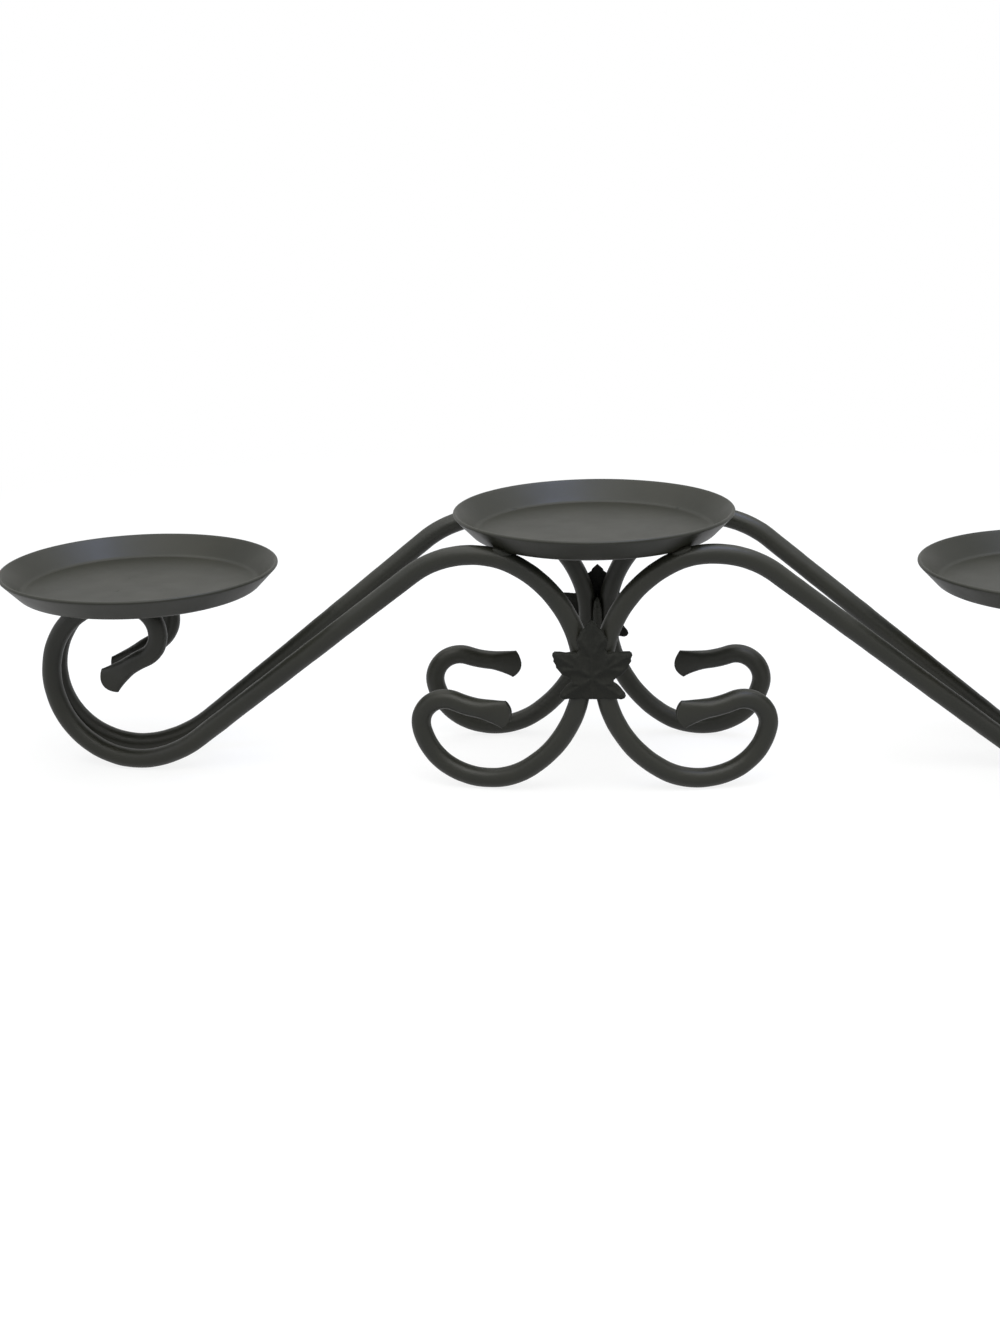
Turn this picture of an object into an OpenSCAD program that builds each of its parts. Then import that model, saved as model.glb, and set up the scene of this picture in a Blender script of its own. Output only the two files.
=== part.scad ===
// Three-plate pillar candle centrepiece in wrought iron.
// X runs along the row of plates, -Y is the front, +Z is up. The origin is on the
// ground, under the centre of the middle plate. All sizes are in millimetres.
//
// Four equal scrolls of round bar stand in two pairs, back to back at the waist.
// Going up from the waist, a scroll rises over its shoulder, runs down a straight
// diagonal, meets the ground and curls into a loop that carries an outer plate.
// Going down, it sweeps out along the ground and curls back as a foot.

/* [Bar] */
// Diameter of the round bar
bar_d = 10.7; // [9:0.1:12]
// Distance between the front pair and the rear pair of scrolls at the waist
waist_depth = 106; // [98:1:114]
// Distance between the front and the rear bar at the outermost point of a loop
loop_depth = 13.5; // [12.5:0.5:20]

/* [Shoulder] */
// Radius of the rise from the waist
rise_r = 62.5; // [58:0.5:66]
// Turn of the rise
rise_turn = 65; // [62:0.5:67]
// Radius of the crown above the rise
crown_r = 45; // [40:0.5:50]
// Turn of the crown
crown_turn = 18.5; // [16:0.5:20]
// Radius of the shoulder that leads into the diagonal
shoulder_r = 57.5; // [52:0.5:62]
// Turn of the shoulder
shoulder_turn = 44.5; // [43:0.5:47]

/* [Outer loop] */
// Radius where the diagonal eases into the loop
ease_r = 67; // [62:0.5:72]
// Turn of the easing stretch
ease_turn = 26; // [24:0.5:28]
// Radius of the loop's ground side
loop_r = 46.5; // [44:0.5:49]
// Turn of the loop's ground side
loop_turn = 119; // [116:0.5:121]
// Radius of the loop's top, under the outer plate
roof_r = 42; // [40:0.5:44]
// Turn of the loop's top
roof_turn = 83; // [80:0.5:86]
// Radius where the loop turns down and inwards
curl_r = 18.5; // [17:0.5:21]
// Turn of the inward curl
curl_turn = 49; // [46:0.5:52]
// Radius of the hook at the loop's heart
hook_r = 15; // [14:0.5:17]
// Turn of the hook
hook_turn = 96.5; // [92:0.5:100]
// Radius of the bar's reverse bend before the loop's flared end
tail_r = 66; // [58:1:74]
// Turn of that reverse bend
tail_turn = 9; // [6:0.5:12]

/* [Foot] */
// Radius of the drop from the waist
drop_r = 66.5; // [62:0.5:70]
// Turn of the drop
drop_turn = 57; // [54:0.5:60]
// Radius of the sole, which meets the ground
sole_r = 41; // [38:0.5:44]
// Turn of the sole
sole_turn = 60; // [57:0.5:62]
// Radius of the toe
toe_r = 32.5; // [30:0.5:35]
// Turn of the toe
toe_turn = 50.5; // [48:0.5:53]
// Radius of the foot's curl
foot_curl_r = 14; // [13:0.5:16]
// Turn of the foot's curl
foot_curl_turn = 124; // [118:0.5:128]
// Radius of the bar's reverse bend before the foot's flared end
foot_tail_r = 55; // [45:1:65]
// Turn of that reverse bend
foot_tail_turn = 13; // [8:0.5:16]

/* [Flared ends] */
// Length of the hammered flare, measured to the corners of its tip
flare_l = 16.5; // [14:0.5:20]
// Width of the flare at its tip, measured in the scroll's plane
flare_w = 15.5; // [13:0.1:17]
// Thickness of the flare at its tip
flare_t = 6; // [5:0.1:8]
// How far the middle of the tip stands ahead of its corners
flare_bulge = 2.3; // [1:0.1:3]

/* [Plates] */
// Diameter of a plate across its rim
plate_d = 152; // [140:1:164]
// Height of the rim above the plate's underside
plate_h = 12; // [10:0.1:15]
// Lean of the wall from the vertical
wall_lean = 49; // [40:1:54]
// Thickness of the pressed sheet
sheet_t = 2; // [1.2:0.1:2.5]
// Inside radius of the bend between floor and wall
bend_r = 5; // [3:0.1:7]
// How far an outer plate's centre lies inside the top of its loop
plate_inset = 10; // [0:1:20]

/* [Leaves] */
// Width of a leaf across its side lobes
leaf_w = 42; // [34:1:46]
// Height of a leaf from its lower lobes to its top tip
leaf_h = 43.5; // [36:0.5:48]
// Thickness of a leaf at its centre
leaf_t = 4; // [3:0.1:5]
// Thickness of a leaf at the tips of its lobes
leaf_tip_t = 2.2; // [1.5:0.1:2.8]
// How far a leaf's centre lies above the waist
leaf_rise = 7.5; // [4:0.5:10]

/* [Welds] */
// Radius of the bead that joins the two bars of a pair at the waist
waist_bead_r = 3; // [2.5:0.1:3.5]
// Radius of the bead behind a leaf
leaf_bead_r = 2; // [1.6:0.1:2.3]
// Length of both beads
bead_l = 26; // [18:1:32]
// Radius of the weld around a bar where it carries a plate
seat_weld_r = 5.5; // [4.5:0.1:6.5]

/* [Hidden] */

$fn = 64;
// Clearance between two pieces that are welded together
seat_gap = 0.1;
// Length of the sleeve where two stretches of a bar meet, and how far it stands proud
sleeve_l = 2;
sleeve_rise = 0.1;
// How far the start of a flare lies inside the bar, and the thickness of its first slice
flare_step = 0.4;
flare_start_t = 0.1;
bar_r = bar_d / 2;

// A scroll is drawn in its own plane: u outwards, v up. A stretch of bar is
// [radius, turn], where a turn to the left is positive, or [length, 0] for a
// straight. A station is [u, v, heading] at the end of a stretch.
function ahead(h) = [cos(h), sin(h)];
function left_of(h) = [-sin(h), cos(h)];
function place(s) = [s[0], s[1]];
function arc_centre(s, b) = place(s) + sign(b[1]) * b[0] * left_of(s[2]);
function arc_point(s, b, turn) = arc_centre(s, b) - sign(b[1]) * b[0] * left_of(s[2] + turn);
function end_place(s, b) = b[1] == 0 ? place(s) + b[0] * ahead(s[2]) : arc_point(s, b, b[1]);
function after(s, b) = let (p = end_place(s, b)) [p[0], p[1], s[2] + b[1]];
function station(s, run, n) = n == 0 ? s : after(station(s, run, n - 1), run[n - 1]);

// The foot stands on the ground, which sets the height of the waist
foot_bends = [[drop_r, drop_turn], [sole_r, sole_turn], [toe_r, toe_turn]];
foot_run = concat(foot_bends, [[foot_curl_r, foot_curl_turn], [foot_tail_r, -foot_tail_turn]]);
waist_u = bar_r + sleeve_rise + seat_gap / 2;
sole_start = station([waist_u, 0, -90], foot_run, 1);
waist_z = bar_r - arc_centre(sole_start, foot_run[1])[1] + sole_r;
waist_down = [waist_u, waist_z, -90];
waist_up = [waist_u, waist_z, 90];

// The loop stands on the ground too, which sets the length of the diagonal
shoulder_run = [[rise_r, -rise_turn], [crown_r, -crown_turn], [shoulder_r, -shoulder_turn]];
shoulder_end = station(waist_up, shoulder_run, 3);
diagonal_a = -shoulder_end[2];
ease_fall = ease_r * (cos(diagonal_a - ease_turn) - cos(diagonal_a));
loop_fall = loop_r * (1 - cos(diagonal_a - ease_turn));
diagonal_l = (shoulder_end[1] - bar_r - ease_fall - loop_fall) / sin(diagonal_a);
loop_bends = [[ease_r, ease_turn], [loop_r, loop_turn], [roof_r, roof_turn], [curl_r, curl_turn]];
loop_run = concat(loop_bends, [[hook_r, hook_turn], [tail_r, -tail_turn]]);
upper_run = concat(shoulder_run, [[diagonal_l, 0]], loop_run);

// Places of the loop's ground side and of its top in the upper run
ground_side = len(shoulder_run) + 2;
roof = ground_side + 1;

// The loop's outermost point sets how far the front and rear planes close up
loop_start = station(waist_up, upper_run, ground_side);
loop_reach = arc_centre(loop_start, upper_run[ground_side])[0] + loop_r - waist_u;
plane_a = asin((waist_depth - loop_depth) / 2 / loop_reach);

// Place in the row of a point on the front right scroll's centre line
function in_row(p) = [
    waist_u + (p[0] - waist_u) * cos(plane_a),
    (p[0] - waist_u) * sin(plane_a) - waist_depth / 2,
    p[1]
];

// The outer plates rest on the tops of the loops
roof_centre = arc_centre(station(waist_up, upper_run, roof), upper_run[roof]);
loop_top = in_row(roof_centre + [0, roof_r + bar_r]);
outer_z = loop_top[2] + seat_gap;
plate_x = loop_top[0] - plate_inset;

// Outside of a plate: a flat floor, a bend and a straight wall up to a round rim
plate_r = plate_d / 2;
rim_r = sheet_t / 2;
rim_centre = [plate_r - rim_r, plate_h - rim_r];
wall_top = rim_centre + rim_r * ahead(-wall_lean);
wall_foot = wall_top[0] - wall_top[1] * tan(wall_lean);
bend_out = bend_r + sheet_t;
bend_centre = [wall_foot - bend_out * tan((90 - wall_lean) / 2), bend_out];

// Height of a bar's centre line above the underside of the plate that rests on it,
// where the bar meets the floor, the bend or the wall at the distance d from the axis
reach = bar_r + seat_gap;
bend_reach = bend_out + reach;
wall_from = bend_centre[0] + bend_reach * cos(wall_lean);
function under_bend(d) = bend_out - sqrt(pow(bend_reach, 2) - pow(d - bend_centre[0], 2));
function under_wall(d) = (d - wall_foot) / tan(wall_lean) - reach / sin(wall_lean);
function under_plate(d) = d < bend_centre[0] ? -reach : d < wall_from ? under_bend(d) : under_wall(d);

// The middle plate rests on the four shoulders, at the highest seat that their centre
// lines give
seat_step = 0.5;
shoulder_line = [
    for (n = [0:2], t = [0:seat_step:abs(shoulder_run[n][1])])
        in_row(arc_point(station(waist_up, shoulder_run, n), shoulder_run[n], -t))
];
function off_axis(q) = norm([q[0], q[1]]);
function seat_height(q) = off_axis(q) < plate_r ? q[2] - under_plate(off_axis(q)) : 0;
seats = [for (q = shoulder_line) seat_height(q)];
middle_z = max(seats);
middle_seat = shoulder_line[search(middle_z, seats)[0]];

// Place where the shoulder's surface meets the plate's bend
seat_bearing = atan2(middle_seat[1], middle_seat[0]);
bend_at_seat = concat(bend_centre[0] * ahead(seat_bearing), [middle_z + bend_out]);
seat_line = bend_at_seat - middle_seat;
middle_contact = middle_seat + seat_line * bar_r / norm(seat_line);

module stretch(s, b, r) {
    if (b[1] == 0) {
        translate(place(s))
            rotate([0, 90, s[2]])
                cylinder(h=b[0], r=r);
    } else {
        first = b[1] > 0 ? s[2] - 90 : s[2] + 90 + b[1];
        translate(arc_centre(s, b))
            rotate([0, 0, first])
                rotate_extrude(angle=abs(b[1]))
                    translate([b[0], 0])
                        circle(r=r);
    }
}

// Two stretches meet inside a short sleeve, which stands hardly proud of the bar
module sleeve(s, r) {
    translate(place(s))
        rotate([0, 90, s[2]])
            cylinder(h=sleeve_l, r=r + sleeve_rise, center=true);
}

// The stretches first to last of the run that starts at the station s
module bent_bar(s, run, r, first, last) {
    for (n = [first:last]) {
        stretch(station(s, run, n), run[n], r);
        sleeve(station(s, run, n), r);
    }
}

// The hammered end: the round bar spreads in the scroll's plane and thins across it
module flare(s) {
    tip_r = flare_t / 2;
    sleeve(s, bar_r);
    translate(place(s))
        rotate([0, 0, s[2]])
            hull() {
                rotate([0, 90, 0])
                    cylinder(h=flare_start_t, r=bar_r - flare_step, $fn=32);
                for (side = [-1, 0, 1])
                    translate([flare_l - tip_r, side * (flare_w / 2 - tip_r), 0])
                        translate([side == 0 ? flare_bulge : 0, 0, 0])
                            sphere(r=tip_r, $fn=24);
            }
}

// Stands what is drawn in a scroll's plane in its place in the row, front right
module in_plane() {
    translate([waist_u, -waist_depth / 2, 0])
        rotate([90, 0, plane_a])
            translate([-waist_u, 0, 0])
                children();
}

module scroll() {
    color("#30302d")
        in_plane() {
            bent_bar(waist_up, upper_run, bar_r, 0, len(upper_run) - 1);
            bent_bar(waist_down, foot_run, bar_r, 1, len(foot_run) - 1);
            stretch(waist_down, foot_run[0], bar_r);
            flare(station(waist_up, upper_run, len(upper_run)));
            flare(station(waist_down, foot_run, len(foot_run)));
        }
}

module front_right_scroll() {
    scroll();
}

module front_left_scroll() {
    mirror([1, 0, 0])
        scroll();
}

module rear_right_scroll() {
    mirror([0, 1, 0])
        scroll();
}

module rear_left_scroll() {
    mirror([0, 1, 0])
        front_left_scroll();
}

arc_steps = 12;
function arc(centre, r, from, to) = [
    for (i = [0:arc_steps])
        centre + r * ahead(from + (to - from) * i / arc_steps)
];
function plate_outside(grow=0) = concat(
    [[0, -grow]],
    arc(bend_centre, bend_out + grow, -90, -wall_lean),
    arc(rim_centre, rim_r + grow, -wall_lean, 90)
);
function plate_inside() = concat(
    arc(rim_centre, rim_r, 90, 180 - wall_lean),
    arc(bend_centre, bend_r, -wall_lean, -90),
    [[0, sheet_t]]
);

module plate() {
    color("#4e4e49")
        rotate_extrude($fn=128)
            polygon(concat(plate_outside(), plate_inside()));
}

// The plate's outer shape, filled, to cut the welds that lie against it
module plate_block() {
    rotate_extrude()
        polygon(concat(plate_outside(seat_gap), [[0, plate_h + seat_gap]]));
}

module middle_plate() {
    translate([0, 0, middle_z])
        plate();
}

module left_plate() {
    translate([-plate_x, 0, outer_z])
        plate();
}

module right_plate() {
    translate([plate_x, 0, outer_z])
        plate();
}

// Right half of a leaf's outline, from its top tip to its foot, in shares of half the
// leaf's width and of its height: top lobe, side lobe and lower lobe
leaf_edge = [
    [0, 0.506], [0.15, 0.425], [0.295, 0.33], [0.37, 0.257], [0.315, 0.129], [0.38, 0.092],
    [0.67, 0.108], [0.95, 0.113], [1, 0.07], [0.975, 0.014], [0.905, -0.074], [0.79, -0.16],
    [0.54, -0.237], [0.53, -0.267], [0.65, -0.34], [0.79, -0.432], [0.81, -0.464],
    [0.74, -0.492], [0.38, -0.48], [0.19, -0.494], [0, -0.485]
];
leaf_points = len(leaf_edge);
leaf_outline = concat(
    leaf_edge,
    [for (i = [leaf_points - 2:-1:1]) [-leaf_edge[i][0], leaf_edge[i][1]]]
);
leaf_back = waist_depth / 2 + bar_r + sleeve_rise + seat_gap;
leaf_z = waist_z + leaf_rise;

// A cast leaf, flat on its back and domed on its front
module leaf() {
    fall = leaf_t - leaf_tip_t;
    dome_r = (pow(leaf_h / 2, 2) + pow(fall, 2)) / (2 * fall);
    color("#343431")
        translate([0, -leaf_back, leaf_z])
            rotate([90, 0, 0])
                intersection() {
                    linear_extrude(leaf_t)
                        polygon([for (p = leaf_outline) [p[0] * leaf_w / 2, p[1] * leaf_h]]);
                    translate([0, 0, leaf_t - dome_r])
                        sphere(r=dome_r, $fn=128);
                }
}

module front_leaf() {
    leaf();
}

module rear_leaf() {
    mirror([0, 1, 0])
        leaf();
}

// The front pair's bars near the waist, grown to cut the beads that lie against them
module waist_bars() {
    for (side = [0, 1])
        mirror([side, 0, 0])
            in_plane() {
                bent_bar(waist_up, upper_run, bar_r + seat_gap, 0, 0);
                stretch(waist_down, foot_run[0], bar_r + seat_gap);
            }
}

// A bead is thickest in its middle and runs out to both ends
module bead(r) {
    outline_r = (pow(bead_l / 2, 2) + pow(r, 2)) / (2 * r);
    half_turn = asin(bead_l / 2 / outline_r);
    rotate_extrude()
        polygon(arc([r - outline_r, 0], outline_r, -half_turn, half_turn));
}

// Bead between the front pair's bars, its middle at the distance depth from the row's
// centre plane
module waist_bead(depth, r) {
    $fn = 200;
    color("#2b2b28")
        difference() {
            translate([0, -depth, waist_z])
                bead(r);
            waist_bars();
        }
}

module front_waist_weld() {
    waist_bead(waist_depth / 2 - bar_r, waist_bead_r);
}

module rear_waist_weld() {
    mirror([0, 1, 0])
        front_waist_weld();
}

module front_leaf_weld() {
    waist_bead(leaf_back - seat_gap - leaf_bead_r, leaf_bead_r);
}

module rear_leaf_weld() {
    mirror([0, 1, 0])
        front_leaf_weld();
}

// Weld around the front right bar where a plate rests on its stretches first to last
module seat_weld(contact, plate_place, first, last) {
    $fn = 200;
    color("#2b2b28")
        difference() {
            translate(contact)
                sphere(r=seat_weld_r);
            in_plane()
                bent_bar(waist_up, upper_run, bar_r + seat_gap, first, last);
            translate(plate_place)
                plate_block();
        }
}

module front_and_rear() {
    children();
    mirror([0, 1, 0])
        children();
}

module right_plate_welds() {
    front_and_rear()
        seat_weld(loop_top, [plate_x, 0, outer_z], roof, roof);
}

module left_plate_welds() {
    mirror([1, 0, 0])
        right_plate_welds();
}

module middle_plate_welds() {
    for (side = [0, 1])
        mirror([side, 0, 0])
            front_and_rear()
                seat_weld(middle_contact, [0, 0, middle_z], 0, len(shoulder_run) - 1);
}

front_left_scroll();
front_right_scroll();
rear_left_scroll();
rear_right_scroll();
middle_plate();
left_plate();
right_plate();
front_leaf();
rear_leaf();
front_waist_weld();
rear_waist_weld();
front_leaf_weld();
rear_leaf_weld();
middle_plate_welds();
left_plate_welds();
right_plate_welds();
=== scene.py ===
# %% [markdown]
# # A wrought-iron centrepiece for three pillar candles
# The real thing is four equal scrolls of round bar, welded back to back in two pairs. They
# carry three pressed plates, and a small cast leaf covers the weld at the front and at the
# back. Everything wears one satin black powder coat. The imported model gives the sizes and
# places, and this file gives the looks: each piece is modelled again in the same place, with
# the marks of the hammer, the press and the welder on it.

# %% Load the frame
import math

import bmesh
import bpy
from mathutils import Matrix, Vector


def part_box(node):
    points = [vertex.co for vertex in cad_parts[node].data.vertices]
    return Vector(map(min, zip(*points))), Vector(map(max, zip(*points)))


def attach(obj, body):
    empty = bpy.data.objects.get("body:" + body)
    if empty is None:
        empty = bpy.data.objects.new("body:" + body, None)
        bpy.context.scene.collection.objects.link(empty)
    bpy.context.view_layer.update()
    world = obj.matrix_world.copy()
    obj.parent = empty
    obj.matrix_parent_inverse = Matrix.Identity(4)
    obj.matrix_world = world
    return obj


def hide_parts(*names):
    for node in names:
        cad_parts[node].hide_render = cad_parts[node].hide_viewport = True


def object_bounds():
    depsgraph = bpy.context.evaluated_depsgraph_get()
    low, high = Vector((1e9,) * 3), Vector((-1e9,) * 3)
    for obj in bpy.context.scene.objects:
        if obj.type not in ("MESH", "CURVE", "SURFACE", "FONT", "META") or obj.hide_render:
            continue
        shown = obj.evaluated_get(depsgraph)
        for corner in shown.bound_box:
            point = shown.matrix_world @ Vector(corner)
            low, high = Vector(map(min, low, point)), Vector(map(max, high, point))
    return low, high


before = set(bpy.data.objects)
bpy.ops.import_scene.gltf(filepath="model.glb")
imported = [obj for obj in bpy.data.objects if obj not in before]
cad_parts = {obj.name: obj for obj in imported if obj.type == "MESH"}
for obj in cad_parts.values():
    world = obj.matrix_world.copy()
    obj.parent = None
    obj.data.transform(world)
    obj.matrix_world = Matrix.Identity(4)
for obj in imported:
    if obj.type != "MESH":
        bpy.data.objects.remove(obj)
CAD_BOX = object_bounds()
MM = 0.001
UP = Vector((0, 0, 1))
size = (CAD_BOX[1] - CAD_BOX[0]) / MM
print("frame: %d nodes, %.1f x %.1f x %.1f mm" % (len(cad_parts), *size))

# %% [markdown]
# ## Helpers for pieces
# A bmesh is Blender's own editable mesh. Each piece starts as one, is shaped with its
# operators and is then written to an object that stays at the origin, so that patterns in
# object coordinates are in real millimetres. A piece rides on the one body, and the nodes that
# it stands for are hidden.

# %% Write a bmesh to an object
BODY = "root"


def add_piece(name, bm, stands_for, smooth_angle=40):
    bmesh.ops.recalc_face_normals(bm, faces=bm.faces)
    mesh = bpy.data.meshes.new(name)
    bm.to_mesh(mesh)
    bm.free()
    mesh.shade_smooth()
    mesh.set_sharp_from_angle(angle=math.radians(smooth_angle))
    piece = bpy.data.objects.new(name, mesh)
    bpy.context.scene.collection.objects.link(piece)
    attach(piece, BODY)
    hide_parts(*stands_for)
    print("%s: %d faces" % (name, len(mesh.polygons)))
    return piece


# %% [markdown]
# A flat shape starts as a few points joined in order.

# %% Join points
def join_points(bm, points):
    verts = [bmesh.ops.create_vert(bm, co=p)["vert"][0] for p in points]
    for pair in zip(verts, verts[1:]):
        bmesh.ops.contextual_create(bm, geom=pair)
    return verts


# %% [markdown]
# ## The route of a bar
# A smith bends each bar round forms, so it is a chain of arcs with one straight: a radius
# and a turn for each arc, the same as in the frame. The route is drawn flat, u outwards from
# the waist and v up. Two sizes follow from the ground, on which both the foot and the loop
# stand: the height of the waist and the length of the straight diagonal.

# %% Bends of a scroll
BAR_R = 5.35 * MM
WAIST_U = 5.5 * MM
SHOULDER = [(62.5, -65), (45, -18.5), (57.5, -44.5)]
LOOP = [(67, 26), (46.5, 119), (42, 83), (18.5, 49), (15, 96.5), (66, -9)]
FOOT = [(66.5, 57), (41, 60), (32.5, 50.5), (14, 124), (55, -13)]


def arc_centre(station, bend):
    u, v, heading = station
    radius = math.copysign(bend[0] * MM, bend[1])
    return u - radius * math.sin(heading), v + radius * math.cos(heading)


def after(station, bend):
    """The station, which is (u, v, heading), at the end of an arc or of a straight."""
    length, turn = bend[0] * MM, math.radians(bend[1])
    u, v, heading = station
    if not turn:
        return u + length * math.cos(heading), v + length * math.sin(heading), heading
    cu, cv = arc_centre(station, bend)
    du, dv = u - cu, v - cv
    cos, sin = math.cos(turn), math.sin(turn)
    return cu + du * cos - dv * sin, cv + du * sin + dv * cos, heading + turn


def walk(station, bends):
    for bend in bends:
        station = after(station, bend)
    return station


def lowest(station, bends, n):
    """Height of the bar's centre line at the bottom of the arc n."""
    return arc_centre(walk(station, bends[:n]), bends[n])[1] - bends[n][0] * MM


WAIST_V = BAR_R - lowest((WAIST_U, 0, math.radians(-90)), FOOT, 1)
WAIST_UP = (WAIST_U, WAIST_V, math.radians(90))
WAIST_DOWN = (WAIST_U, WAIST_V, math.radians(-90))
SHOULDER_END = walk(WAIST_UP, SHOULDER)
fall = lowest(SHOULDER_END, LOOP, 1) - BAR_R
DIAGONAL = fall / math.sin(-SHOULDER_END[2]) / MM
UPPER = SHOULDER + [(DIAGONAL, 0)] + LOOP
print("waist %.2f mm high, diagonal %.2f mm long" % (WAIST_V / MM, DIAGONAL))

# %% [markdown]
# The two bars of a side stand apart at the waist and close up towards the loop, so each
# scroll's plane is turned a little. A matrix takes the flat route to its place in the row,
# and mirrored ones give the other three scrolls.

# %% Planes of the four scrolls
WAIST_DEPTH = 106 * MM
LOOP_DEPTH = 13.5 * MM
loop_side = arc_centre(walk(WAIST_UP, UPPER[:5]), UPPER[5])[0] + UPPER[5][0] * MM - WAIST_U
PLANE_TURN = math.asin((WAIST_DEPTH - LOOP_DEPTH) / 2 / loop_side)


def scroll_plane(side, depth_side):
    """side is 1 to the right and -1 to the left, depth_side is -1 in front and 1 behind."""
    out = Matrix.Translation((-WAIST_U, 0, 0))
    turn = Matrix.Rotation(PLANE_TURN, 4, "Z")
    back = Matrix.Translation((WAIST_U, -WAIST_DEPTH / 2, 0))
    return Matrix.Diagonal((side, -depth_side, 1, 1)) @ back @ turn @ out


print("planes turned %.2f degrees" % math.degrees(PLANE_TURN))

# %% [markdown]
# ## Bars
# Spin carries a ring of edges round a centre, which is what the bending fork does to the
# bar, and extrude carries it straight on. Both are cut into short steps, because the hammer
# marks that follow need a fine mesh to show on.

# %% Bend a bar
BAR_SIDES = 28
RING_GAP = 1.6 * MM
BEND_AXIS = (0, -1, 0)


def open_end(geometry):
    return [e for e in geometry if isinstance(e, bmesh.types.BMEdge)]


def ring_verts(ring):
    return list({v for e in ring for v in e.verts})


def carry_on(bm, ring, step):
    made = bmesh.ops.extrude_edge_only(bm, edges=ring)["geom"]
    new = [v for v in made if isinstance(v, bmesh.types.BMVert)]
    bmesh.ops.translate(bm, verts=new, vec=step)
    return [e for e in open_end(made) if all(v in new for v in e.verts)]


def lay_stretch(bm, ring, station, bend):
    heading = Vector((math.cos(station[2]), 0, math.sin(station[2])))
    turn = math.radians(bend[1])
    if not turn:
        steps = math.ceil(bend[0] * MM / RING_GAP)
        for _ in range(steps):
            ring = carry_on(bm, ring, heading * bend[0] * MM / steps)
        return ring
    cu, cv = arc_centre(station, bend)
    steps = math.ceil(abs(turn) * bend[0] * MM / RING_GAP)
    made = bmesh.ops.spin(bm, geom=ring + ring_verts(ring), cent=(cu, 0, cv), axis=BEND_AXIS,
                          angle=turn, steps=steps)
    return open_end(made["geom_last"])


def lay_bar(bm, ring, station, bends):
    for bend in bends:
        ring = lay_stretch(bm, ring, station, bend)
        station = after(station, bend)
    return ring, station


# %% [markdown]
# ## Flared ends
# The smith flattens the end of the bar over the anvil's edge, so it spreads in the scroll's
# plane, thins across it and ends in a rounded tongue that droops a little. Each new ring is
# scaled in the bar's own axes: along, across and in the plane. Three insets round the lip.

# %% Flare an end
FLARE_L = 14.5 * MM
FLARE_W = 16 * MM
FLARE_T = 6 * MM
FLARE_STEPS = 12
FLARE_POWER = 1.6
LIP_BULGE = 4 * MM
LIP_DROOP = 1 * MM
# Width and depth of each inset, in millimetres
LIP_INSETS = [(0.5, 0.45), (0.7, 0.25), (0.9, 0.1)]


def ease(t):
    return t * t * (3 - 2 * t)


def flare(bm, ring, station):
    u, v, heading = station
    turned = Matrix.Rotation(heading, 4, BEND_AXIS)
    along = turned.to_3x3() @ Vector((1, 0, 0))
    start = Vector((u, 0, v))
    width = thickness = 1.0
    new = []
    for n in range(1, FLARE_STEPS + 1):
        ring = carry_on(bm, ring, along * FLARE_L / FLARE_STEPS)
        share = n / FLARE_STEPS
        wide = 1 + (FLARE_W / (2 * BAR_R) - 1) * share ** FLARE_POWER
        thin = 1 + (FLARE_T / (2 * BAR_R) - 1) * ease(share)
        place = Matrix.Translation(start + along * FLARE_L * share) @ turned
        verts = ring_verts(ring)
        bmesh.ops.scale(bm, vec=(1, thin / thickness, wide / width), verts=verts,
                        space=place.inverted())
        width, thickness = wide, thin
        new += verts
    across = turned.to_3x3() @ UP
    for vert in new:
        offset = vert.co - start
        share = offset.dot(along) / FLARE_L
        side = offset.dot(across) / (FLARE_W / 2)
        vert.co.z -= LIP_DROOP * share ** 2
        vert.co += along * LIP_BULGE * share ** 4 * (1 - side * side)
    made = bmesh.ops.contextual_create(bm, geom=ring)
    cap = made["faces"]
    for inset, depth in LIP_INSETS:
        bmesh.ops.inset_region(bm, faces=cap, thickness=inset * MM, depth=depth * MM,
                               use_even_offset=True)
    bmesh.ops.poke(bm, faces=cap)


# %% [markdown]
# One ring of edges at the waist grows up to the loop and down to the foot. All four bars are
# made in this way, and only the matrix that places them differs.

# %% Make the four scrolls
def make_scroll(name, side, depth_side):
    bm = bmesh.new()
    stand = Matrix.Translation((WAIST_U, 0, WAIST_V))
    bmesh.ops.create_circle(bm, segments=BAR_SIDES, radius=BAR_R, matrix=stand)
    waist = bm.edges[:]
    ring, station = lay_bar(bm, waist, WAIST_UP, UPPER)
    flare(bm, ring, station)
    ring, station = lay_bar(bm, waist, WAIST_DOWN, FOOT)
    flare(bm, ring, station)
    bmesh.ops.transform(bm, matrix=scroll_plane(side, depth_side), verts=bm.verts)
    return add_piece(name, bm, [name.replace("_bar", "")])


bars = [make_scroll("%s_%s_scroll_bar" % (row, hand), side, depth_side)
        for row, depth_side in (("front", -1), ("rear", 1))
        for hand, side in (("left", -1), ("right", 1))]

# %% [markdown]
# ## Pressed plates
# A press draws each plate from 2 mm sheet in one blow: a flat floor, a bend, and a straight
# wall that leans out by 44 degrees. Its underside is drawn as a profile of three points. A
# vertex bevel makes the bend, a full spin turns the profile into a dish, solidify gives the
# sheet its thickness and an edge bevel rounds the rim. The rings on the floor are close
# because a press leaves it slightly wavy, which a soft reflection shows. The walls are taller
# in the photograph than in the frame, so each plate is drawn a millimetre deeper, downwards,
# into the bars that it is welded to.

# %% Press a plate
WALL_LEAN = math.radians(44)
SHEET_T = 2 * MM
BEND_OUT = 6 * MM
SINK = 1 * MM
RIM_ROUND = 0.9 * MM
RIM_ANGLE = math.radians(60)
PLATE_STEPS = 160
FLOOR_CUTS = 24
WALL_CUTS = 5
BEND_SEGMENTS = 8
RIM_SEGMENTS = 4
MERGE_DIST = 0.01 * MM


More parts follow.
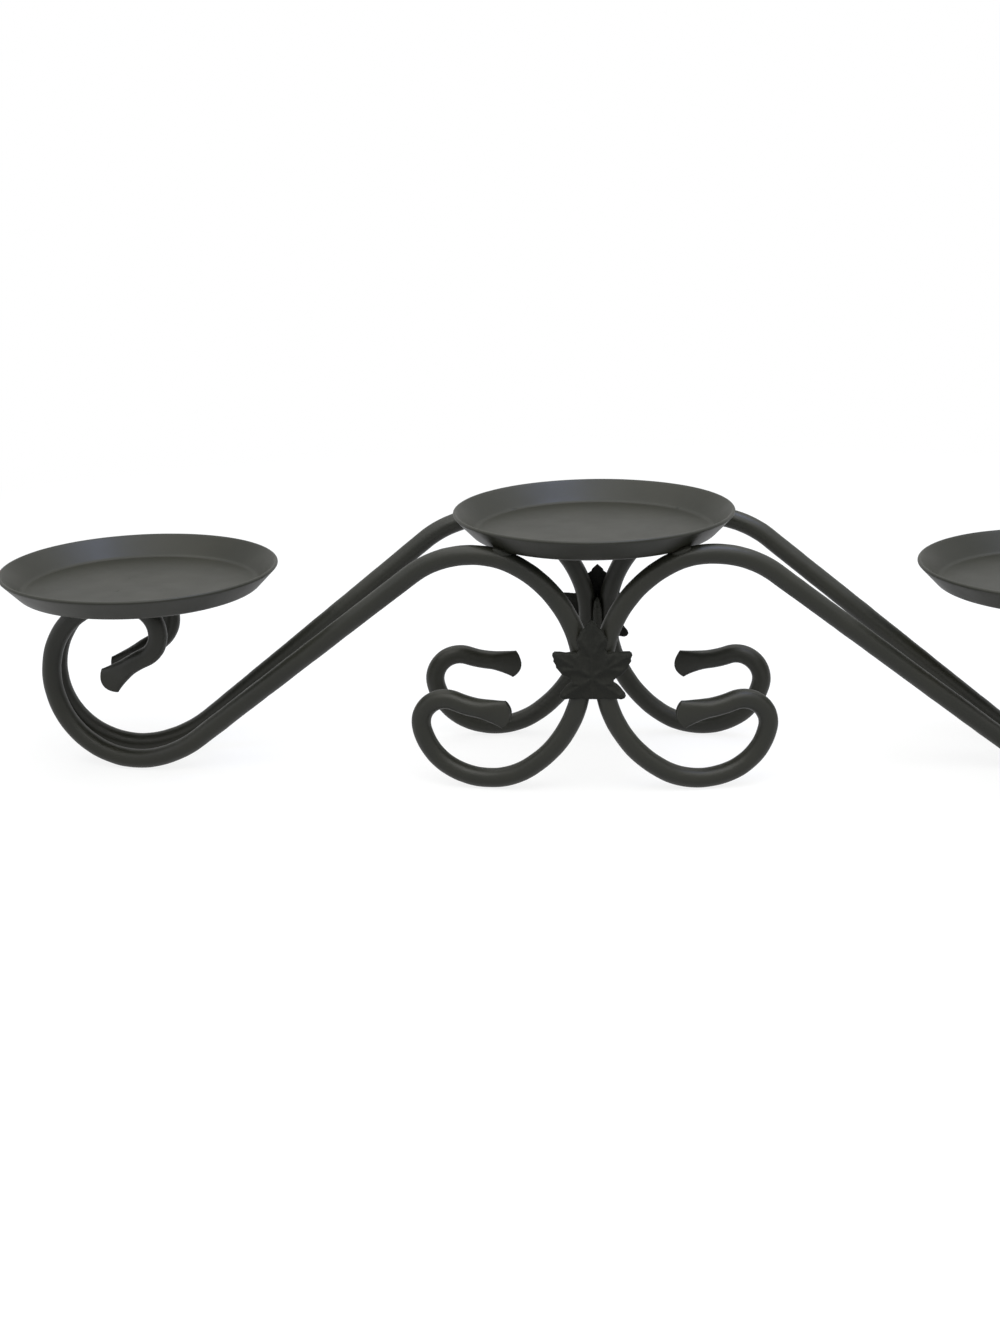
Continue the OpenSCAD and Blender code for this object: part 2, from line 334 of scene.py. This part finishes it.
def plate_profile(bm, radius, height):
    wall = Vector((math.sin(WALL_LEAN), 0, math.cos(WALL_LEAN)))
    outside = Vector((wall.z, 0, -wall.x))
    rim = Vector((radius - SHEET_T / 2, 0, height - SHEET_T / 2))
    top = rim + outside * SHEET_T / 2 + wall * RIM_ROUND
    foot = top - wall * (top.z / wall.z)
    points = join_points(bm, [(0, 0, 0), foot, top])
    tangent = BEND_OUT * math.tan((math.radians(90) - WALL_LEAN) / 2)
    bmesh.ops.bevel(bm, geom=[points[1]], offset=tangent, offset_type="OFFSET",
                    segments=BEND_SEGMENTS, profile=0.5, affect="VERTICES", material=-1)
    wall_edge, floor_edge = sorted(bm.edges, key=lambda e: e.calc_length())[-2:]
    bmesh.ops.subdivide_edges(bm, edges=[floor_edge], cuts=FLOOR_CUTS)
    bmesh.ops.subdivide_edges(bm, edges=[wall_edge], cuts=WALL_CUTS)


def press_plate(node):
    low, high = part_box(node)
    bm = bmesh.new()
    plate_profile(bm, (high.x - low.x) / 2, high.z - low.z + SINK)
    bmesh.ops.spin(bm, geom=bm.verts[:] + bm.edges[:], cent=(0, 0, 0), axis=UP,
                   angle=math.radians(360), steps=PLATE_STEPS, use_merge=True)
    bmesh.ops.remove_doubles(bm, verts=bm.verts, dist=MERGE_DIST)
    bmesh.ops.recalc_face_normals(bm, faces=bm.faces)
    bm.normal_update()
    if bm.faces[0].normal.z > 0:
        bmesh.ops.reverse_faces(bm, faces=bm.faces)
    bmesh.ops.solidify(bm, geom=bm.faces[:], thickness=SHEET_T)
    rim = [e for e in bm.edges if e.calc_face_angle(0) > RIM_ANGLE]
    bmesh.ops.bevel(bm, geom=rim, offset=RIM_ROUND, offset_type="OFFSET",
                    segments=RIM_SEGMENTS, profile=0.5, affect="EDGES", material=-1)
    place = ((low.x + high.x) / 2, (low.y + high.y) / 2, low.z - SINK)
    bmesh.ops.translate(bm, verts=bm.verts, vec=place)
    return add_piece(node + "_sheet", bm, [node])


plates = [press_plate(node) for node in ("middle_plate", "left_plate", "right_plate")]

# %% [markdown]
# ## Cast leaves
# Each leaf is a small iron casting with five lobes, domed, with a raised vein in every
# lobe. Half of its outline is drawn and mirrored. Planes then cut the flat face into a fine
# grid, an extrusion gives the body, and the front is raised point by point: the dome, the
# veins and the hollows between them, and an edge that rolls back to the bars.

# %% Outline of a leaf
# The right half of the outline from the tip down, and the veins, in millimetres
LEAF_EDGE = [
    (0, 22), (1.5, 20.6), (3.2, 19), (3.5, 17.9), (5.3, 16.6), (6.4, 15.6), (6.4, 14.4),
    (7.7, 12.5), (8.2, 11), (7.4, 9.6), (7.6, 8), (6.7, 6.2), (7.8, 4.6), (11, 4.9), (13.6, 4.5),
    (16.4, 5), (19.6, 5.1), (20.7, 4.2), (21, 2.7), (20.2, 1), (20.4, -0.4), (19.2, -2.2),
    (18.9, -4), (17.2, -5.8), (15.8, -7.6), (13.4, -8.8), (11.2, -10.4), (11.2, -11.6),
    (13, -12.8), (14.4, -14.2), (15.6, -15.8), (17, -17.6), (17.5, -19.4), (16.7, -20.8),
    (15, -21.4), (12.2, -21), (9, -21.4), (6, -20.9), (3, -21.4), (0, -21),
]
LEAF_VEINS = [
    ((0, -20), (0, 20)), ((0, -8), (18.4, 2.6)), ((0, -9), (14.8, -19)), ((0, 3), (5.8, 12)),
    ((7, -4), (15.4, -5)), ((5.5, -4.6), (9.4, 2.5)), ((5, -12.2), (10, -12)),
]
# Thicknesses, heights and widths are in millimetres too
LEAF_T = 4
LEAF_TIP_T = 2.4
LEAF_REACH = 22
LEAF_ROUND = 1.3
VEIN_H, VEIN_W = 0.45, 0.75
HOLLOW_H, HOLLOW_W = 0.8, 2.4


def from_line(point, line):
    start, end = Vector(line[0]), Vector(line[1])
    along = end - start
    share = max(0, min(1, (point - start).dot(along) / along.length_squared))
    return (point - start - along * share).length


def leaf_thickness(x, z):
    """Thickness in mm at a point given in metres from the leaf's centre."""
    point = Vector((abs(x), z)) / MM
    to_edge = min(from_line(point, line) for line in zip(LEAF_EDGE, LEAF_EDGE[1:]))
    to_vein = min(from_line(point, line) for line in LEAF_VEINS)
    fall = (LEAF_T - LEAF_TIP_T) * min(1, point.length_squared / LEAF_REACH ** 2)
    vein = VEIN_H * math.exp(-(to_vein / VEIN_W) ** 2)
    hollow = HOLLOW_H * (1 - math.exp(-(to_vein / HOLLOW_W) ** 2))
    roll = max(0, 1 - to_edge / LEAF_ROUND)
    return LEAF_T - VEIN_H - fall + vein - hollow - LEAF_ROUND * (1 - math.sqrt(1 - roll ** 2))


# %% [markdown]
# The planes that cut the grid lie on both sides of the middle, far enough out to pass the
# ends of the lobes. The back gets no veins, because it lies on the bead that holds the leaf.

# %% Cast a leaf
LEAF_GRID = 0.7 * MM
LEAF_CUTS = 32
CUT_DIST = 0.001 * MM


def all_of(bm):
    return bm.verts[:] + bm.edges[:] + bm.faces[:]


def cast_leaf(node, depth_side):
    low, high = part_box(node)
    back = low.y if depth_side > 0 else high.y
    bm = bmesh.new()
    corners = join_points(bm, [(x * MM, 0, z * MM) for x, z in LEAF_EDGE])
    bmesh.ops.contextual_create(bm, geom=[corners[0], corners[-1]])
    bmesh.ops.edgenet_fill(bm, edges=bm.edges[:])
    bmesh.ops.mirror(bm, geom=all_of(bm), axis="X", merge_dist=MERGE_DIST)
    bmesh.ops.triangulate(bm, faces=bm.faces)
    for axis in (Vector((1, 0, 0)), UP):
        for n in range(-LEAF_CUTS, LEAF_CUTS + 1):
            bmesh.ops.bisect_plane(bm, geom=all_of(bm), dist=CUT_DIST, plane_no=axis,
                                   plane_co=axis * (n + 0.5) * LEAF_GRID)
    bmesh.ops.recalc_face_normals(bm, faces=bm.faces)
    made = bmesh.ops.extrude_face_region(bm, geom=bm.faces[:])["geom"]
    for vert in (v for v in made if isinstance(v, bmesh.types.BMVert)):
        vert.co.y = depth_side * leaf_thickness(vert.co.x, vert.co.z) * MM
    bmesh.ops.translate(bm, verts=bm.verts, vec=(0, back, high.z - LEAF_EDGE[0][1] * MM))
    return add_piece(node + "_casting", bm, [node], smooth_angle=60)


leaves = [cast_leaf("front_leaf", -1), cast_leaf("rear_leaf", 1)]

# %% [markdown]
# ## Welds
# Eight short welds hold the plates on the bars, and a bead joins each pair of bars at the
# waist and another holds each leaf. A weld is metal that ran and set, so each starts as a
# sphere. At a seat it is squashed, and its lower half lies hidden in the bar. A bead is drawn
# out long, and takes a ripple from the welder's steps.

# %% Seats of the plates
ROOF = 6
roof_u, roof_v = arc_centre(walk(WAIST_UP, UPPER[:ROOF]), UPPER[ROOF])
LOOP_SEAT = Vector((roof_u, 0, roof_v + UPPER[ROOF][0] * MM + BAR_R))
# Where the front right shoulder meets the bend of the middle plate, and the way it faces
SHOULDER_SEAT = Vector((46.06, -44.83, 131.69)) * MM
SHOULDER_NORMAL = Vector((-1.59, 1.55, 4.76)).normalized()
SEAT_R, SEAT_H = 6.4 * MM, 3.2 * MM
SEAT_SINK = 1.9 * MM
WELD_SIDES, WELD_RINGS = 32, 48


def add_weld(bm, centre, radii, normal=UP, ripple=0, step=1):
    made = bmesh.ops.create_uvsphere(bm, u_segments=WELD_SIDES, v_segments=WELD_RINGS, radius=1)["verts"]
    turn = normal.to_track_quat("Z", "Y").to_matrix().to_4x4()
    for vert in made:
        vert.co.xy *= 1 + ripple * math.sin(vert.co.z * radii[2] / step * math.tau)
    place = Matrix.Translation(centre) @ turn @ Matrix.Diagonal((*radii, 1))
    bmesh.ops.transform(bm, matrix=place, verts=made)


def weld_seats(node, seats):
    bm = bmesh.new()
    for seat, normal in seats:
        add_weld(bm, seat - normal * SEAT_SINK, (SEAT_R, SEAT_R, SEAT_H), normal)
    return add_piece(node + "_metal", bm, [node])


corner_signs = [(side, depth) for side in (-1, 1) for depth in (-1, 1)]
shoulders = [(SHOULDER_SEAT * Vector((side, -depth, 1)), SHOULDER_NORMAL * Vector((side, -depth, 1)))
             for side, depth in corner_signs]
welds = [weld_seats("middle_plate_welds", shoulders)]
for hand, side in (("left", -1), ("right", 1)):
    loops = [(scroll_plane(side, depth) @ LOOP_SEAT, UP) for depth in (-1, 1)]
    welds.append(weld_seats(hand + "_plate_welds", loops))

# %% Beads at the waist
BEAD_L = 26 * MM
WAIST_BEAD_R = 3 * MM
LEAF_BEAD_R = 2 * MM
BEAD_STEP = 1.7 * MM
BEAD_RIPPLE = 0.07


def lay_bead(node, radius):
    low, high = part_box(node)
    bm = bmesh.new()
    add_weld(bm, (low + high) / 2, (radius, radius, BEAD_L / 2), ripple=BEAD_RIPPLE,
             step=BEAD_STEP)
    return add_piece(node + "_bead", bm, [node])


for row in ("front", "rear"):
    welds += [lay_bead(row + "_waist_weld", WAIST_BEAD_R), lay_bead(row + "_leaf_weld", LEAF_BEAD_R)]

# %% [markdown]
# ## Camera
# The camera stands where the photograph was taken from: its place, turn and focal length
# were worked out from the rims of the plates and the edges of the bars.

# %% Camera
PHOTO_W, PHOTO_H = 1000, 1333
FOCAL_PX = 2173.1
CENTRE_PX = 530
SENSOR = 36
CAMERA_PLACE = (0.03324, -1.14357, 0.40563)
YAW, PITCH, ROLL = (math.radians(a) for a in (-3.472, 17.060, -1.165))
camera_data = bpy.data.cameras.new("camera")
camera_data.sensor_width = SENSOR
camera_data.lens = FOCAL_PX * SENSOR / PHOTO_H
camera_data.shift_x = (PHOTO_W / 2 - CENTRE_PX) / PHOTO_H
camera = bpy.data.objects.new("camera", camera_data)
camera.matrix_world = (Matrix.Translation(CAMERA_PLACE)
                       @ Matrix.Rotation(-YAW, 4, "Z")
                       @ Matrix.Rotation(math.radians(90) - PITCH, 4, "X")
                       @ Matrix.Rotation(ROLL, 4, "Z"))
bpy.context.scene.collection.objects.link(camera)
bpy.context.scene.camera = camera
print("camera: focal length %.1f mm" % camera_data.lens)

# %% [markdown]
# ## Node helper and colours
# Materials here are node graphs. One function turns an sRGB hex colour to the linear numbers
# that Blender works in, and one adds a node with its settings and links.

# %% Add a node
def colour(code):
    """Linear colour, with alpha, of an sRGB hex code."""
    parts = [int(code[n:n + 2], 16) / 255 for n in (1, 3, 5)]
    linear = [p / 12.92 if p <= 0.04045 else ((p + 0.055) / 1.055) ** 2.4 for p in parts]
    return (*linear, 1)


def add_node(tree, kind, settings=None, links=None):
    node = tree.nodes.new(kind)
    for name, value in (settings or {}).items():
        if hasattr(node, name):
            setattr(node, name, value)
        else:
            node.inputs[name].default_value = value
    for name, source in (links or {}).items():
        tree.links.new(source, node.inputs[name])
    return node


# %% [markdown]
# ## Powder coat
# The iron is sprayed with black polyester powder and baked, which leaves a satin dielectric
# film about 0.08 mm thick: no metal shows. What the eye reads is a very dark warm grey, a
# wide soft highlight, and orange peel, a dimpled skin about a millimetre across. The skin is
# smoothest on pressed sheet, a little rougher on bar and coarse on the castings, which keep
# the grain of the sand under it. Its gloss fades where the surface turns away, because the
# photograph shows hardly any bright rim.

# %% Coat a piece
CLOUD_SIZE = 38
CLOUD_START, CLOUD_END = 0.3, 0.75
GLOSS_SIZE = 14
GLOSS_SPREAD = 0.06
EDGE_START = 0.4


def powder_coat(name, dark, pale, roughness, peel, peel_depth, grain, grain_depth, level, edge):
    """Orange peel and grain are given by their sizes and depths in millimetres. The specular
    level is level where the surface faces the eye, and level * edge where it turns away."""
    material = bpy.data.materials.new(name)
    material.use_nodes = True
    tree = material.node_tree
    tree.nodes.clear()
    place = add_node(tree, "ShaderNodeTexCoord").outputs["Object"]
    cloud = add_node(tree, "ShaderNodeTexNoise", {"Scale": 1 / (CLOUD_SIZE * MM), "Detail": 4.0},
                     {"Vector": place})
    tone = add_node(tree, "ShaderNodeValToRGB", links={"Fac": cloud.outputs["Fac"]})
    tone.color_ramp.elements[0].color = colour(dark)
    tone.color_ramp.elements[1].color = colour(pale)
    tone.color_ramp.elements[0].position = CLOUD_START
    tone.color_ramp.elements[1].position = CLOUD_END
    gloss = add_node(tree, "ShaderNodeTexNoise", {"Scale": 1 / (GLOSS_SIZE * MM), "Detail": 3.0},
                     {"Vector": place})
    satin = add_node(tree, "ShaderNodeMapRange",
                     {"To Min": roughness - GLOSS_SPREAD, "To Max": roughness + GLOSS_SPREAD},
                     {"Value": gloss.outputs["Fac"]})
    skin = add_node(tree, "ShaderNodeTexNoise", {"Scale": 1 / (peel * MM), "Detail": 2.0},
                    {"Vector": place})
    dimples = add_node(tree, "ShaderNodeBump", {"Strength": 1.0, "Distance": peel_depth * MM},
                       {"Height": skin.outputs["Fac"]})
    sand = add_node(tree, "ShaderNodeTexNoise", {"Scale": 1 / (grain * MM), "Detail": 3.0},
                    {"Vector": place})
    grains = add_node(tree, "ShaderNodeBump", {"Strength": 1.0, "Distance": grain_depth * MM},
                      {"Height": sand.outputs["Fac"], "Normal": dimples.outputs["Normal"]})
    slant = add_node(tree, "ShaderNodeLayerWeight", {"Blend": 0.5},
                     {"Normal": grains.outputs["Normal"]})
    film = add_node(tree, "ShaderNodeMapRange",
                    {"From Min": EDGE_START, "To Min": level, "To Max": level * edge},
                    {"Value": slant.outputs["Facing"]})
    # The socket keeps a plain number for wherever the link is dropped
    coat = add_node(tree, "ShaderNodeBsdfPrincipled", {"IOR": 1.5, "Specular IOR Level": level},
                    {"Base Color": tone.outputs["Color"], "Roughness": satin.outputs["Result"],
                     "Specular IOR Level": film.outputs["Result"],
                     "Normal": grains.outputs["Normal"]})
    add_node(tree, "ShaderNodeOutputMaterial", links={"Surface": coat.outputs["BSDF"]})
    return material


# %% Coats and what they give the eye
COATS = [
    # A soft line of light along the bar, which wavers over faint hammer marks
    (bars, dict(name="satin_powder_coat_on_bar", dark="#1f201a", pale="#282820", roughness=0.42,
                peel=1.1, peel_depth=0.05, grain=4.5, grain_depth=0.12, level=0.33, edge=0.1)),
    # An even satin floor and wall, with a broad pale reflection and hardly any texture
    (plates, dict(name="satin_powder_coat_on_sheet", dark="#1f2018", pale="#26261d",
                  roughness=0.44, peel=1.0, peel_depth=0.02, grain=9, grain_depth=0.04,
                  level=0.32, edge=0.45)),
    # A dull, sandy skin in which the veins show by their shade and not by their shine
    (leaves, dict(name="powder_coat_on_sand_casting", dark="#242522", pale="#2e2e2a",
                  roughness=0.58, peel=0.9, peel_depth=0.16, grain=2.2, grain_depth=0.25,
                  level=0.12, edge=0.1)),
    # Lumpy metal under the film, a little duller than the bar beside it
    (welds, dict(name="powder_coat_on_weld", dark="#1e1f19", pale="#27271f", roughness=0.5,
                 peel=0.8, peel_depth=0.08, grain=1.8, grain_depth=0.12, level=0.28, edge=0.1)),
]
for pieces, finish in COATS:
    coat = powder_coat(**finish)
    for piece in pieces:
        piece.data.materials.append(coat)
    print("%s: %d pieces" % (coat.name, len(pieces)))

# %% [markdown]
# ## Marks of the work
# Displace modifiers add what is too deep for a bump: the bar's hammered unevenness, the
# press's faint waves on a plate, and the lumps of a casting or a weld. They read object
# coordinates, so a mark has the same size on every piece. A middle level above 0.5 makes most
# marks hollows, which keeps the object within the frame's box.

# %% Roughen the pieces
def roughen(piece, size, depth, mid_level=0.5, direction="NORMAL"):
    """Size and depth of the marks are in millimetres."""
    marks = bpy.data.textures.new("marks", "CLOUDS")
    marks.noise_scale = size * MM
    modifier = piece.modifiers.new("marks", "DISPLACE")
    modifier.texture = marks
    modifier.texture_coords = "LOCAL"
    modifier.strength = depth * MM
    modifier.mid_level = mid_level
    modifier.direction = direction


for bar in bars:
    roughen(bar, size=11, depth=0.35, mid_level=0.7)
for plate in plates:
    roughen(plate, size=42, depth=0.14, mid_level=0.6, direction="Z")
for leaf in leaves:
    roughen(leaf, size=3.2, depth=0.9, direction="Y")
for weld in welds:
    roughen(weld, size=1.8, depth=0.8, mid_level=0.8)
print("roughened pieces:", len(bars + plates + leaves + welds))

# %% [markdown]
# ## Studio
# The photograph has the object alone on white. The floor keeps a faint shadow near it and
# fades to plain white further out, and the world is white to the camera and in reflections.

# %% Floor
FLOOR_HALF = 2.5
# Keeps the floor clear of the feet
FLOOR_DROP = 0.1 * MM
bm = bmesh.new()
bmesh.ops.create_grid(bm, x_segments=1, y_segments=1, size=FLOOR_HALF,
                      matrix=Matrix.Translation((0, 0, -FLOOR_DROP)))
floor_mesh = bpy.data.meshes.new("floor")
bm.to_mesh(floor_mesh)
bm.free()
floor = bpy.data.objects.new("floor", floor_mesh)
bpy.context.scene.collection.objects.link(floor)


def seen_directly(tree):
    """1 for rays from the camera, a reflection or glass, and 0 for the rest."""
    path = add_node(tree, "ShaderNodeLightPath")
    seen = path.outputs["Is Camera Ray"]
    for kind in ("Is Glossy Ray", "Is Transmission Ray"):
        both = add_node(tree, "ShaderNodeMath", {"operation": "MAXIMUM"})
        tree.links.new(seen, both.inputs[0])
        tree.links.new(path.outputs[kind], both.inputs[1])
        seen = both.outputs["Value"]
    return seen


def mix(tree, share, first, second):
    node = add_node(tree, "ShaderNodeMixShader", links={"Fac": share})
    tree.links.new(first, node.inputs[1])
    tree.links.new(second, node.inputs[2])
    return node.outputs["Shader"]


# Distances in metres from the middle, between which the shadow's ground turns to plain white
FADE_START, FADE_END = 0.42, 0.9
# Light added to the lit paper, which brings it up to white where no shadow falls
FLOOR_LIFT = 0.84
paper = bpy.data.materials.new("white_paper_floor")
paper.use_nodes = True
tree = paper.node_tree
tree.nodes.clear()
grey = add_node(tree, "ShaderNodeBsdfDiffuse", {"Color": colour("#7c7c7c")})
lift = add_node(tree, "ShaderNodeEmission", {"Strength": FLOOR_LIFT})
catch = add_node(tree, "ShaderNodeAddShader")
tree.links.new(grey.outputs["BSDF"], catch.inputs[0])
tree.links.new(lift.outputs["Emission"], catch.inputs[1])
plain = add_node(tree, "ShaderNodeEmission", {"Strength": 1.0})
position = add_node(tree, "ShaderNodeTexCoord").outputs["Object"]
distance = add_node(tree, "ShaderNodeVectorMath", {"operation": "LENGTH"}, {"Vector": position})
fade = add_node(tree, "ShaderNodeMapRange", {"From Min": FADE_START, "From Max": FADE_END},
                {"Value": distance.outputs["Value"]})
shown = mix(tree, fade.outputs["Result"], catch.outputs["Shader"], plain.outputs["Emission"])
matt = add_node(tree, "ShaderNodeBsdfDiffuse", {"Color": colour("#8c8c8a")})
surface = mix(tree, seen_directly(tree), matt.outputs["BSDF"], shown)
add_node(tree, "ShaderNodeOutputMaterial", links={"Surface": surface})
floor.data.materials.append(paper)
print("floor: %.1f m square" % (2 * FLOOR_HALF))

# %% [markdown]
# A wide dim ceiling gives the even tone, a small key in front gives each bar its soft line
# of light, and a bluish skylight far above gives the patch on the back wall of each plate.

# %% World and lamps
ROOM_LIGHT = 0.5
world = bpy.data.worlds.new("white_studio")
world.use_nodes = True
bpy.context.scene.world = world
tree = world.node_tree
tree.nodes.clear()
room = add_node(tree, "ShaderNodeBackground",
                {"Color": colour("#f7fcff"), "Strength": ROOM_LIGHT})
white = add_node(tree, "ShaderNodeBackground", {"Color": colour("#ffffff"), "Strength": 1.0})
sky = mix(tree, seen_directly(tree), room.outputs["Background"], white.outputs["Background"])
add_node(tree, "ShaderNodeOutputWorld", links={"Surface": sky})

# Place and side in metres, power in watts and colour
SOFTBOXES = {
    "ceiling_panel": ((0.0, -0.1, 1.2), 2.0, 16.5, "#fffefa"),
    "key_softbox": ((0.0, -0.6, 1.0), 0.65, 2.8, "#fffefa"),
    "left_softbox": ((-1.2, -0.4, 0.6), 0.7, 1.2, "#f6f9ff"),
    "right_softbox": ((1.2, -0.4, 0.6), 0.7, 1.0, "#fffcf5"),
    "skylight": ((0.61, -0.04, 2.1), 0.5, 12.5, "#b0c3ff"),
}
TARGET = Vector((0, 0, 0.08))
for name, (spot, side, power, tint) in SOFTBOXES.items():
    softbox = bpy.data.lights.new(name, "AREA")
    softbox.size = side
    softbox.energy = power
    softbox.color = colour(tint)[:3]
    lamp = bpy.data.objects.new(name, softbox)
    facing = (TARGET - Vector(spot)).to_track_quat("-Z", "Y")
    lamp.matrix_world = Matrix.Translation(spot) @ facing.to_matrix().to_4x4()
    bpy.context.scene.collection.objects.link(lamp)
bpy.context.scene.view_settings.view_transform = "Standard"
print("softboxes:", len(SOFTBOXES))
